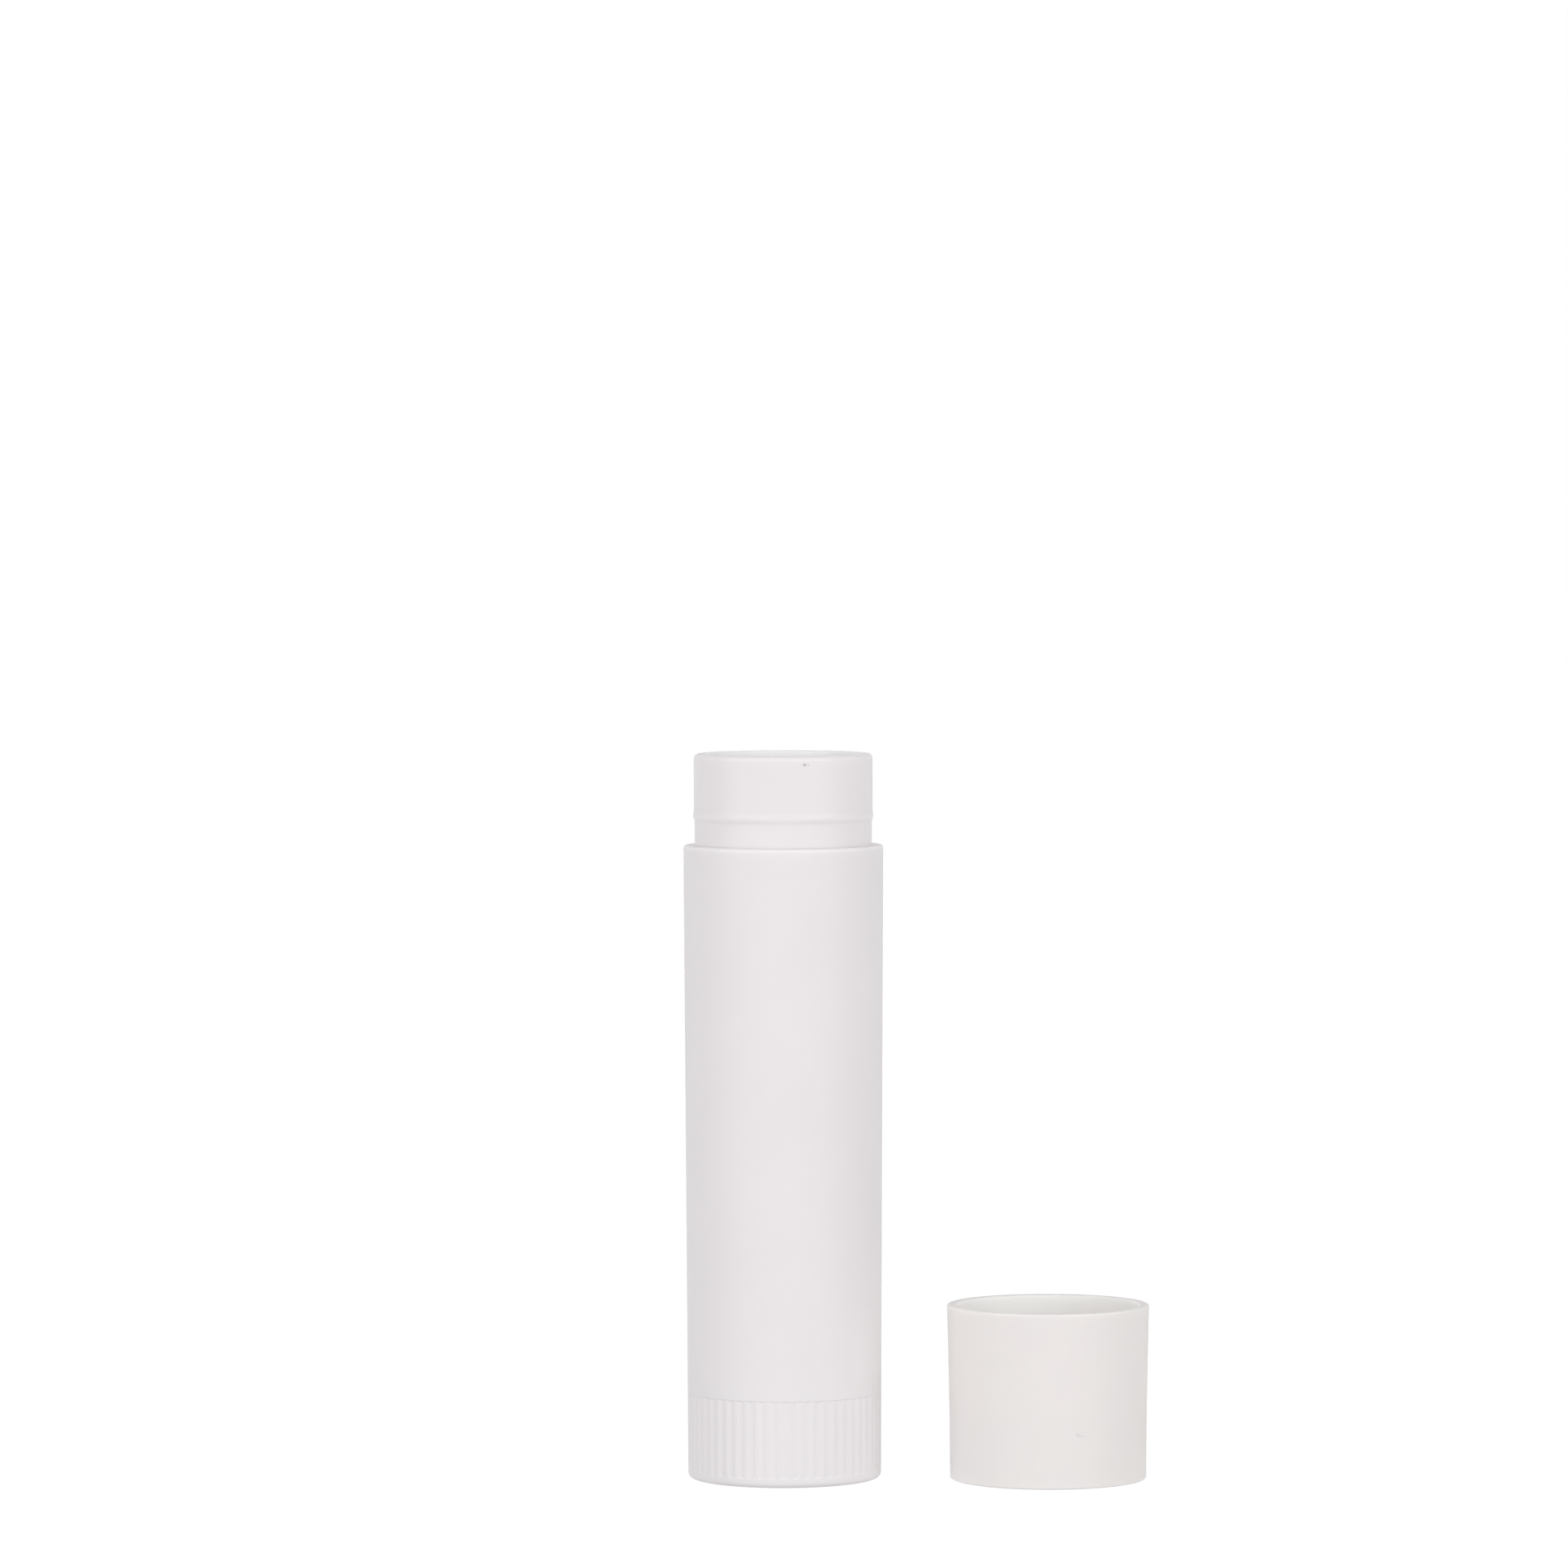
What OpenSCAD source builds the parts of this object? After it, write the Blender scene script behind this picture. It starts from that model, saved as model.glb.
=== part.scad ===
// Empty twist-up stick tube with its cap off and standing beside it, mouth up.
// Millimetres, +Z up, the origin under the middle of the tube's foot; the photographed side faces -Y.
// Four pieces: a barrel with its neck, a base wheel moulded with its spindle, the elevator, the cap.

/* [Tube outside] */
// Diameter across the shoulder, where the tube is widest
shoulder_d = 16.4; // [16.2:0.1:18]
// Length of the barrel from its lower edge to the shoulder
barrel_l = 45.0; // [36:0.2:60]
// Draft of the outside in degrees: the tube narrows towards its foot
draft = 0.3; // [0:0.05:0.5]
// Rounding of the shoulder's outer edge
shoulder_edge = 0.25; // [0.1:0.05:0.4]
// Rounding of the barrel's lower edge
barrel_edge = 0.06; // [0.05:0.01:0.2]

/* [Neck] */
// Diameter of the neck above the snap ring
neck_d = 14.68; // [14.5:0.02:14.8]
// Height of the neck over the shoulder
neck_h = 7.5; // [7:0.05:9]
// How much thinner the neck is below the snap ring, on the radius
neck_relief = 0.06; // [0.02:0.01:0.1]
// How far the snap ring stands out from the neck
ring_out = 0.09; // [0.05:0.01:0.15]
// Underside of the snap ring above the shoulder
ring_up = 2.1; // [1.8:0.05:2.6]
// Height of the snap ring with its lead-in slope
ring_h = 0.8; // [0.6:0.05:1]
// Height of the ring's upright face under the slope
ring_face = 0.2; // [0.1:0.05:0.3]
// Rounding of the neck's outer rim
rim_edge = 0.38; // [0.2:0.02:0.45]
// Chamfer inside the neck's rim
mouth_chamfer = 0.15; // [0.05:0.05:0.25]

/* [Bore and guide ribs] */
// Diameter of the bore that the elevator rides in
bore_d = 12.7; // [12.5:0.05:12.9]
// Number of guide ribs that keep the elevator from turning
guide_count = 4; // [3:1:4]
// Width of a guide rib
guide_w = 1.0; // [0.7:0.1:1.3]
// How far a guide rib stands into the bore
guide_out = 0.5; // [0.3:0.05:0.6]
// Distance from the top of the guide ribs to the neck's rim
guide_below_rim = 2.1; // [1.5:0.1:4]

/* [Base wheel] */
// Height of the wheel's gripped part
wheel_h = 7.05; // [6:0.05:9]
// Visible gap between wheel and barrel
wheel_gap = 0.05; // [0.04:0.01:0.3]
// Number of grip ribs round the wheel
grip_count = 54; // [36:1:60]
// Depth of the grooves between the grip ribs
grip_depth = 0.2; // [0.1:0.01:0.25]
// Radius of the round tool that cuts a grip groove
grip_tool_r = 0.38; // [0.3:0.01:0.4]
// Height of the smooth band under the grip ribs
grip_start = 0.75; // [0.5:0.05:1.5]
// Rounding of the wheel's lower edge
foot_edge = 0.45; // [0.15:0.05:0.6]
// Rounding of the wheel's upper edge
wheel_edge = 0.06; // [0.05:0.01:0.2]
// Thickness of the wheel's floor
floor_t = 1.3; // [1:0.1:1.6]
// Depth of the recess under the foot
recess_depth = 0.3; // [0.1:0.05:0.4]
// Diameter of the recess under the foot
recess_d = 9.0; // [6:0.5:11]

/* [Wheel collar] */
// Diameter of the collar that turns inside the barrel's foot
collar_d = 13.9; // [13.7:0.05:14]
// Wall of the collar
collar_wall = 1.0; // [0.8:0.05:1.2]
// Radial running clearance between collar and socket
turn_clearance = 0.05; // [0.02:0.01:0.1]
// Depth of the socket in the barrel's foot
socket_depth = 3.9; // [3.5:0.1:5]
// Distance from the collar's top to the end of the socket
collar_short = 0.55; // [0.4:0.05:0.8]
// How far the snap bead stands out from the collar
bead_out = 0.2; // [0.1:0.01:0.2]
// Height of the snap bead
bead_h = 0.5; // [0.4:0.05:0.6]
// Distance from the barrel's lower edge to the snap bead
bead_up = 1.75; // [1.5:0.05:2]
// Clearance of the snap bead in its groove, all round
bead_clearance = 0.12; // [0.08:0.01:0.15]

/* [Spindle thread] */
// Axial lead of the single-start thread
lead = 4.4; // [4:0.1:5]
// Core diameter of the spindle
core_d = 3.6; // [3.2:0.1:3.8]
// Crest diameter of the spindle's thread
crest_d = 5.0; // [4.6:0.1:5.2]
// Half of the angle that the thread's crest takes in a cross-section
crest_half_angle = 37; // [25:1:45]
// Half of the angle that the thread takes at its root
root_half_angle = 78; // [65:1:90]
// Clearance between spindle and elevator thread, radial and along the axis
thread_clearance = 0.15; // [0.1:0.01:0.2]
// Diameter of the boss at the spindle's foot
boss_d = 6.0; // [5.4:0.1:6.4]
// Height of the boss above the wheel's floor
boss_h = 2.0; // [1.5:0.1:2.4]
// Length of the spindle's plain rounded tip
tip_l = 0.9; // [0.6:0.1:1.5]

/* [Elevator] */
// Radial clearance of the elevator in the bore
rise_clearance = 0.08; // [0.05:0.01:0.1]
// Clearance of a notch round its guide rib
notch_clearance = 0.15; // [0.1:0.01:0.2]
// Thickness of the elevator's plate
plate_t = 1.0; // [0.8:0.1:1.4]
// Gap under the plate at the lowest position
plate_lift = 0.25; // [0.2:0.05:0.5]
// Height of the elevator's cup over the underside of its plate
cup_h = 4.5; // [3.5:0.1:6]
// Wall of the cup
cup_wall = 0.65; // [0.5:0.05:0.8]
// Outer diameter of the threaded hub
hub_d = 7.0; // [6.8:0.1:7.6]
// How far the hub reaches below the plate
hub_down = 6.3; // [5:0.1:6.5]
// How far the hub reaches above the plate's underside
hub_up = 2.5; // [1.8:0.1:3]
// Thickness of the fins on the plate
fin_t = 0.6; // [0.5:0.1:0.9]
// Height of the fins above the plate's underside
fin_h = 2.0; // [1.6:0.1:2.4]
// How far the raised cup stays below the neck's rim
raised_below_rim = 0.4; // [0.2:0.1:1]

/* [Cap] */
// Height of the cap
cap_h = 14.32; // [12.5:0.02:18]
// Diameter at the closed end
cap_end_d = 16.12; // [15.9:0.02:16.4]
// How much wider the mouth is than the closed end, on the radius
cap_flare = 0.245; // [0.1:0.005:0.3]
// How late the cap widens towards its mouth
cap_flare_power = 1.6; // [1:0.1:2]
// Rounding of the closed end's outer edge
cap_edge = 0.2; // [0.15:0.05:0.5]
// Rounding of the mouth's outer edge
lip_edge = 0.12; // [0.05:0.01:0.2]
// Thickness of the closed end
cap_end_t = 1.1; // [0.8:0.1:1.5]
// Radial clearance of the cap's seat on the neck
seat_clearance = 0.06; // [0.03:0.01:0.1]
// Clearance over the neck's rim at the end of the seat
seat_over = 0.15; // [0.1:0.05:0.5]
// Clearance of the snap groove round the snap ring, along the axis
snap_clearance = 0.15; // [0.1:0.01:0.2]
// How far the seat steps in to the upper hollow
seat_step = 0.45; // [0.3:0.05:0.6]
// Draft of the hollow above the seat, on the radius
hollow_draft = 0.1; // [0:0.05:0.2]
// Rounding inside the closed end
hollow_round = 0.5; // [0.2:0.1:0.8]
// Diameter of the dimple in the closed end
dimple_d = 3.0; // [2:0.5:5]
// Depth of the dimple in the closed end
dimple_depth = 0.25; // [0.1:0.05:0.4]
// Distance of the cap to the right of the tube
cap_x = 21.66; // [19:0.02:40]
// Distance of the cap behind the tube, less than zero in front
cap_y = -1.13; // [-15:0.01:15]

/* [Hidden] */
$fn = 96;

// Straight pieces in one rounded edge, and rings of the thread in one turn
edge_steps = 4;
rings_a_turn = 16;
// Straight pieces across the thread's crest, and round its core
crest_steps = 3;
core_steps = 8;
// Small chamfer at lead-ins and inner corners
chamfer = 0.2;
// The small mark that a moulding gate leaves
gate_r = 0.6;
gate_out = 0.12;
// Slope under the snap bead, and its lead-in slope
bead_under = 0.1;
bead_lead = 0.25;
// Rounding of the spindle's tip, and how much thinner than the core it is, on the radius
tip_round = 0.6;
tip_relief = 0.1;
// Height over which the thread's ridge fades in and out
thread_fade = 1.2;
// Overlap where one solid runs into another
bite = 0.3;

// Heights
barrel_z = wheel_h + wheel_gap;
shoulder_z = barrel_z + barrel_l;
neck_z = shoulder_z + neck_h;
ring_z = shoulder_z + ring_up;
guide_z = neck_z - guide_below_rim;
socket_z = barrel_z + socket_depth;
collar_z = socket_z - collar_short;
bead_z = barrel_z + bead_up;
boss_z = floor_t + boss_h;
plate_z = collar_z + plate_lift;
hub_z = plate_z - hub_down;
travel = neck_z - raised_below_rim - (plate_z + cup_h);
thread_z0 = boss_z + thread_fade / 2;
thread_z1 = hub_z + travel + lead;

// Radii
neck_r = neck_d / 2;
lower_neck_r = neck_r - neck_relief;
ring_r = neck_r + ring_out;
bore_r = bore_d / 2;
guide_r = bore_r - guide_out;
collar_r = collar_d / 2;
cavity_r = collar_r - collar_wall;
socket_r = collar_r + turn_clearance;
bead_r = collar_r + bead_out;
bead_groove_r = bead_r + bead_clearance;
cup_r = bore_r - rise_clearance;
notch_r = guide_r - notch_clearance;
notch_w = guide_w + 2 * notch_clearance;
seat_r = neck_r + seat_clearance;
hollow_r = seat_r - seat_step;
snap_r = ring_r + seat_clearance;

// Radius of the tube's drafted outside at a height
function outside_r(z) = shoulder_d / 2 - (shoulder_z - z) * tan(draft);

// Radius of the cap's outside at a height over its closed end
function cap_r(z) = cap_end_d / 2 + cap_flare * pow(z / cap_h, cap_flare_power);

// Points of a rounded edge about a centre
function rounded(r, z, radius, from, to) =
    [for (i = [0:edge_steps]) let (a = from + (to - from) * i / edge_steps)
        [r + radius * cos(a), z + radius * sin(a)]];

// Cross-section of the thread: angle from the ridge's middle, and share of the ridge's height
function thread_section(crest, root) =
    concat([for (i = [0:crest_steps]) [2 * crest * i / crest_steps - crest, 1]],
           [for (i = [0:core_steps]) [root + (360 - 2 * root) * i / core_steps, 0]]);

// Share of the full ridge at a height, so that it fades at both ends
function ridge_share(z, z0, z1, fade) =
    fade == 0 ? 1 : max(0, min(1, (z - z0) / fade, (z1 - z) / fade));

// A solid right-handed thread between two heights
// The same section climbs and turns, so edges of crest and flanks run along the thread
module thread(bottom, top, core, crest, crest_angle, root_angle, z0, z1, fade) {
    section = thread_section(crest_angle, root_angle);
    count = len(section);
    rings = ceil((top - bottom) / lead * rings_a_turn);
    points = [for (k = [0:rings]) let (z = bottom + (top - bottom) * k / rings, turn = 360 * z / lead)
        each [for (p = section) let (r = core + (crest - core) * p[1] * ridge_share(z, z0, z1, fade))
            [r * cos(p[0] + turn), r * sin(p[0] + turn), z]]];
    sides = [for (k = [0:rings - 1]) for (j = [0:count - 1]) let (
            a = k * count + j,
            b = k * count + (j + 1) % count,
            c = a + count,
            d = b + count)
        each [[a, c, b], [b, c, d]]];
    foot = [[for (j = [0:count - 1]) j]];
    head = [[for (j = [count - 1:-1:0]) rings * count + j]];
    polyhedron(points = points, faces = concat(sides, foot, head), convexity = 10);
}

module barrel() {
    outline = concat(
        [[socket_r + barrel_edge, barrel_z]],
        rounded(outside_r(barrel_z) - barrel_edge, barrel_z + barrel_edge, barrel_edge, -90, 0),
        rounded(outside_r(shoulder_z) - shoulder_edge, shoulder_z - shoulder_edge, shoulder_edge, 0, 90),
        [[lower_neck_r, shoulder_z],
         [lower_neck_r, ring_z],
         [ring_r, ring_z],
         [ring_r, ring_z + ring_face],
         [neck_r, ring_z + ring_h]],
        rounded(neck_r - rim_edge, neck_z - rim_edge, rim_edge, 0, 90),
        [[bore_r + mouth_chamfer, neck_z],
         [bore_r, neck_z - mouth_chamfer],
         [bore_r, socket_z],
         [socket_r, socket_z],
         [socket_r, bead_z + bead_h + bead_clearance],
         [bead_groove_r, bead_z + bead_h + bead_clearance],
         [bead_groove_r, bead_z - bead_clearance],
         [socket_r, bead_z - bead_clearance],
         [socket_r, barrel_z + barrel_edge]]);
    color([0.91, 0.9, 0.9]) {
        rotate_extrude() polygon(outline);
        for (i = [0:guide_count - 1])
            rotate([90, 0, i * 360 / guide_count])
                linear_extrude(guide_w, center = true)
                    polygon([[guide_r, socket_z],
                             [bore_r + bite, socket_z],
                             [bore_r + bite, guide_z + bite],
                             [guide_r, guide_z - guide_out]]);
    }
}

module base_wheel() {
    outline = concat(
        [[0, recess_depth - gate_out],
         [gate_r, recess_depth - gate_out],
         [gate_r, recess_depth],
         [recess_d / 2, recess_depth],
         [recess_d / 2 + chamfer, 0]],
        rounded(outside_r(foot_edge) - foot_edge, foot_edge, foot_edge, -90, 0),
        rounded(outside_r(wheel_h) - wheel_edge, wheel_h - wheel_edge, wheel_edge, 0, 90),
        [[collar_r, wheel_h],
         [collar_r, bead_z],
         [bead_r, bead_z + bead_under],
         [bead_r, bead_z + bead_h - bead_lead],
         [collar_r, bead_z + bead_h],
         [collar_r, collar_z - chamfer],
         [collar_r - chamfer, collar_z],
         [cavity_r, collar_z],
         [cavity_r, floor_t + chamfer],
         [cavity_r - chamfer, floor_t],
         [boss_d / 2, floor_t],
         [boss_d / 2, boss_z - chamfer],
         [boss_d / 2 - chamfer, boss_z],
         [0, boss_z]]);
    grip_tool_at = outside_r(wheel_h) + grip_tool_r - grip_depth;
    tip_r = core_d / 2 - tip_relief;
    tip_z = thread_z1 + tip_l;
    color([0.91, 0.9, 0.9]) {
        difference() {
            rotate_extrude() polygon(outline);
            for (i = [0:grip_count - 1])
                rotate([0, 0, (i + 0.5) * 360 / grip_count])
                    translate([grip_tool_at, 0, grip_start])
                        cylinder(r = grip_tool_r, h = wheel_h, $fn = 16);
        }
        thread(boss_z - bite, thread_z1, core_d / 2, crest_d / 2, crest_half_angle, root_half_angle,
               thread_z0, thread_z1, thread_fade);
        rotate_extrude() polygon(concat(
            [[0, thread_z1 - bite], [tip_r, thread_z1 - bite]],
            rounded(tip_r - tip_round, tip_z - tip_round, tip_round, 0, 90),
            [[0, tip_z]]));
    }
}

module elevator() {
    turn_back = 360 * thread_clearance / lead;
    color([0.91, 0.9, 0.9]) difference() {
        union() {
            translate([0, 0, plate_z]) difference() {
                cylinder(r = cup_r, h = cup_h);
                translate([0, 0, plate_t]) linear_extrude(cup_h) difference() {
                    circle(r = cup_r - cup_wall);
                    for (i = [0:guide_count - 1])
                        rotate([0, 0, i * 360 / guide_count])
                            translate([notch_r - cup_wall, -notch_w / 2 - cup_wall])
                                square([cup_r, notch_w + 2 * cup_wall]);
                }
            }
            translate([0, 0, hub_z]) cylinder(d = hub_d, h = hub_down + hub_up);
            for (i = [0:guide_count - 1])
                rotate([0, 0, (i + 0.5) * 360 / guide_count])
                    translate([hub_d / 2 - bite, -fin_t / 2, plate_z + plate_t - bite])
                        cube([cup_r - cup_wall - hub_d / 2 + 2 * bite, fin_t, fin_h - plate_t + bite]);
        }
        for (i = [0:guide_count - 1])
            rotate([0, 0, i * 360 / guide_count])
                translate([notch_r, -notch_w / 2, plate_z - bite])
                    cube([cup_r, notch_w, cup_h + 2 * bite]);
        thread(hub_z - bite, plate_z + hub_up + bite, core_d / 2 + thread_clearance,
               crest_d / 2 + thread_clearance, crest_half_angle + turn_back,
               root_half_angle + turn_back, 0, 0, 0);
    }
}

module cap() {
    mouth = cap_h - lip_edge;
    steps = 8;
    ring_from_mouth = cap_h - ring_up;
    seat_end = cap_h - neck_h - seat_over;
    outline = concat(
        [[0, dimple_depth - gate_out],
         [gate_r, dimple_depth - gate_out],
         [gate_r, dimple_depth],
         [dimple_d / 2, dimple_depth],
         [dimple_d / 2 + chamfer, 0]],
        rounded(cap_r(cap_edge) - cap_edge, cap_edge, cap_edge, -90, 0),
        [for (i = [1:steps - 1]) let (z = cap_edge + (mouth - cap_edge) * i / steps) [cap_r(z), z]],
        rounded(cap_r(mouth) - lip_edge, mouth, lip_edge, 0, 90),
        [[seat_r + chamfer, cap_h],
         [seat_r, cap_h - chamfer],
         [seat_r, ring_from_mouth + snap_clearance],
         [snap_r, ring_from_mouth + snap_clearance - ring_out],
         [snap_r, ring_from_mouth - ring_h - snap_clearance + ring_out],
         [seat_r, ring_from_mouth - ring_h - snap_clearance],
         [seat_r, seat_end],
         [hollow_r, seat_end - seat_step]],
        rounded(hollow_r - hollow_draft - hollow_round, cap_end_t + hollow_round, hollow_round, 0, -90),
        [[0, cap_end_t]]);
    color([0.91, 0.9, 0.88]) translate([cap_x, cap_y, 0]) rotate_extrude() polygon(outline);
}

barrel();
base_wheel();
elevator();
cap();
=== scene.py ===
# %% [markdown]
# # An empty twist-up stick tube with its cap off
#
# The tube is made of four mouldings of white polypropylene: a barrel with a neck, a ribbed base wheel that is
# one piece with a threaded spindle, a lifting cup that rides on the thread, and a cap. The measured solids
# come in first and stay where they are. Each one is then replaced by a finer skin with soft edges, which
# moves with the same body.

# %% Load the measured solids
import math

import bmesh
import bpy
from mathutils import Matrix, Vector


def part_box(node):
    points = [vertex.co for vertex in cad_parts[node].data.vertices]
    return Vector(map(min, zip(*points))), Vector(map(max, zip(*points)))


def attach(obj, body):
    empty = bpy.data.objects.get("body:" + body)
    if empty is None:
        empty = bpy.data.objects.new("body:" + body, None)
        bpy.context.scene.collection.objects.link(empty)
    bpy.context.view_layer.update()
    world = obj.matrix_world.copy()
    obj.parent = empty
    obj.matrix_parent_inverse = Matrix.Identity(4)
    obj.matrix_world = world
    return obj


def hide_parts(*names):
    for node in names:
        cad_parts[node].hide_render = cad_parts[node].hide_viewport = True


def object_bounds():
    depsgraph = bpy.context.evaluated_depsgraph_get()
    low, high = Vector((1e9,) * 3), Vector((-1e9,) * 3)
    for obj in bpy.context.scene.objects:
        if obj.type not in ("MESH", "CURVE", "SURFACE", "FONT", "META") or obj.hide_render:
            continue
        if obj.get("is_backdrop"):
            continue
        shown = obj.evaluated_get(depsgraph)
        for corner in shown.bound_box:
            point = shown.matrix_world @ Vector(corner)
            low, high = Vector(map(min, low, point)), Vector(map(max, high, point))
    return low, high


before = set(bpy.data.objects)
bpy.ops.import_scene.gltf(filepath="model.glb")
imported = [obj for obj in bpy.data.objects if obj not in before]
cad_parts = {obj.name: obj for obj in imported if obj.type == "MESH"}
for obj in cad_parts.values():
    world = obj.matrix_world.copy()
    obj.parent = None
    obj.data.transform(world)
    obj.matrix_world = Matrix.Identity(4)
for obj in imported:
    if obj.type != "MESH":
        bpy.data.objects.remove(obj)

MM = 0.001
cad_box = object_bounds()
print("solids:", sorted(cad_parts))

# %% [markdown]
# ## The camera
#
# Small packs are photographed from well back with a long lens, which keeps their sides straight. The lens,
# the distance and the slight downward tilt were worked out from how the round rims look as ellipses.
# A turn about the camera's own axis gives the slight lean of the picture. A long lens could also be faked
# with an orthographic camera, but then the rims near the top would look as open as those near the floor.

# %% Set up the camera
CAMERA_AT = Vector((0.067, -671.1, 85.1)) * MM
CAMERA_TILT = math.radians(2.39)
CAMERA_LEAN = math.radians(-0.124)

camera_data = bpy.data.cameras.new("camera")
camera_data.sensor_width = 36.0
camera_data.lens = 187.9
camera_data.clip_start = 0.01
camera_data.clip_end = 50.0
camera = bpy.data.objects.new("camera", camera_data)
bpy.context.scene.collection.objects.link(camera)
aim = Matrix.Rotation(math.pi / 2 - CAMERA_TILT, 4, "X") @ Matrix.Rotation(CAMERA_LEAN, 4, "Z")
camera.matrix_world = Matrix.Translation(CAMERA_AT) @ aim
bpy.context.scene.camera = camera
print("camera", round(CAMERA_AT.length / MM), "mm from the foot")

# %% [markdown]
# ## Sizes
#
# Heights and radii are in millimetres, as a drawing would give them. What the solids can tell is read from
# their boxes, so it can't drift from them. The rest repeats the drawing.

# %% Read the sizes
barrel_low, barrel_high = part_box("barrel")
wheel_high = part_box("base_wheel")[1]
lift_low, lift_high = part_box("elevator")
cap_low, cap_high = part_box("cap")

SHOULDER_R = barrel_high.x / MM
BARREL_Z = barrel_low.z / MM
NECK_Z = barrel_high.z / MM
NECK_L = 7.5
SHOULDER_Z = NECK_Z - NECK_L
DRAFT = math.radians(0.3)
NECK_R = 7.34
LOWER_NECK_R = 7.28
RING_R = 7.43
# Height of the snap ring over the shoulder
RING_UP = 2.1
RING_Z = SHOULDER_Z + RING_UP
BORE_R = 6.35
SOCKET_R = 7.0
SOCKET_Z = BARREL_Z + 3.9
WHEEL_Z = 7.05
COLLAR_Z = SOCKET_Z - 0.55
BEAD_Z = BARREL_Z + 1.75
CAP_X = (cap_low.x + cap_high.x) / 2 / MM
CAP_Y = (cap_low.y + cap_high.y) / 2 / MM
CAP_H = cap_high.z / MM
# Rounding of the two edges at the seam over the wheel, and how far the seam closes from both sides
SEAM_EDGE = 0.02
SEAM_CLOSE = 0.023


def outside_r(z):
    """Radius of the tube's outside, which narrows a little towards the foot."""
    return SHOULDER_R - (SHOULDER_Z - z) * math.tan(DRAFT)


print(f"shoulder {2 * SHOULDER_R:.2f} mm across at {SHOULDER_Z:.2f} mm, rim at {NECK_Z:.2f} mm")

# %% [markdown]
# ## Skins from rings
#
# Almost everything here is round, so a lathe or the Screw modifier could turn a profile. Grip ribs, guide
# ribs and a thread aren't round, though. So every skin is a stack of rings with the same number of points,
# joined ring to ring with quads. A round ring and a ribbed ring can then meet in one closed mesh, with no
# boolean to clean up after.

# %% Draw profiles and join rings
EDGE_STEPS = 6


def edge(r, z, radius, start, end):
    """A rounded edge in a profile: points (r, z) about a centre, between two angles in degrees."""
    angles = [start + (end - start) * i / EDGE_STEPS for i in range(EDGE_STEPS + 1)]
    return [(r + radius * math.cos(math.radians(a)), z + radius * math.sin(math.radians(a))) for a in angles]


# Where the centre of a corner's rounding lies, outward and up, and the angles between which it runs
CORNERS = {"foot": (-1, 1, -90, 0), "top": (-1, -1, 0, 90), "rim": (1, -1, 90, 180),
           "root": (1, 1, 270, 180), "floor": (-1, 1, 0, -90)}


def corner(kind, r, z, radius):
    """A rounded corner where a side at radius r meets a level at height z."""
    outward, up, start, end = CORNERS[kind]
    return edge(r + outward * radius, z + up * radius, radius, start, end)


def held(profile, gap=0.04):
    """Adds a point close to both ends of each long straight, so that shading stays flat between the edges."""
    points = []
    for (r0, z0), (r1, z1) in zip(profile, profile[1:] + profile[:1]):
        points.append((r0, z0))
        length = math.hypot(r1 - r0, z1 - z0)
        if length > 8 * gap:
            for share in (gap / length, 1 - gap / length):
                points.append((r0 + (r1 - r0) * share, z0 + (z1 - z0) * share))
    return points


def circle(r, z, angles):
    """A round ring, or its one middle point where the radius is zero."""
    if r < 1e-6:
        return [(0.0, 0.0, z)]
    return [(r * math.cos(a), r * math.sin(a), z) for a in angles]


def add_rings(mesh, rings, joined):
    """Joins each ring to the next with quads. A ring of one point closes an end."""
    rows = [[mesh.verts.new(Vector(p) * MM) for p in ring] for ring in rings]
    steps = list(zip(rows, rows[1:]))
    if joined:
        steps.append((rows[-1], rows[0]))
    for low, high in steps:
        count = max(len(low), len(high))
        for i in range(count):
            j = (i + 1) % count
            corners = [low[i % len(low)], low[j % len(low)], high[j % len(high)], high[i % len(high)]]
            mesh.faces.new(list(dict.fromkeys(corners)))


def skin(name, stacks, body, node):
    """Makes one closed smooth piece from stacks of rings, and puts it on its body in place of a solid."""
    mesh = bmesh.new()
    for rings, joined in stacks:
        add_rings(mesh, rings, joined)
    bmesh.ops.recalc_face_normals(mesh, faces=mesh.faces)
    data = bpy.data.meshes.new(name)
    mesh.to_mesh(data)
    mesh.free()
    data.shade_smooth()
    data.set_sharp_from_angle(angle=math.radians(35))
    piece = bpy.data.objects.new(name, data)
    bpy.context.scene.collection.objects.link(piece)
    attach(piece, body)
    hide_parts(node)
    print(f"{name}: {len(data.polygons)} faces, {piece.dimensions.z / MM:.2f} mm tall")
    return piece


# %% [markdown]
# ## The barrel
#
# The barrel is one thick-walled moulding, drafted by a third of a degree so that it leaves its mould. Its
# outside has only soft edges: a small one at the shoulder and a fuller one round the rim. The low ring on the
# neck snaps into the cap. It is a low rounded swell, a little steeper below. Inside, four guide ribs keep the
# lifting cup from turning. The ring of points is spaced so that the ribs' corners fall on points.

# %% Make the barrel
QUARTER_POINTS = 64
GUIDE_HALF_W = 0.5
GUIDE_R = BORE_R - 0.5
GUIDE_Z = NECK_Z - 2.1
GUIDE_SOFT = 0.12
# Least height of a rib's side, so that no face there shrinks to nothing
GUIDE_LEAST = 0.004
SHOULDER_EDGE = 0.25
NECK_ROOT = 0.08
RIM_OUTER_EDGE = 0.38
RIM_INNER_EDGE = 0.15
# The snap ring starts a little under its height. It is this tall, in this many steps
RING_DROP = 0.12
RING_TALL = 0.92
RING_STEPS = 16
# Depth of the socket's snap groove, and how far it reaches over and under its bead
SOCKET_GROOVE = 0.32
GROOVE_OVER = 0.62
GROOVE_UNDER = 0.12
# Angles in degrees of the eight points that a quarter's rib takes on a plain round ring
RIB_ANGLES = (-5.4, -4.7, -3.6, -1.2, 1.2, 3.6, 4.7, 5.4)


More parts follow.
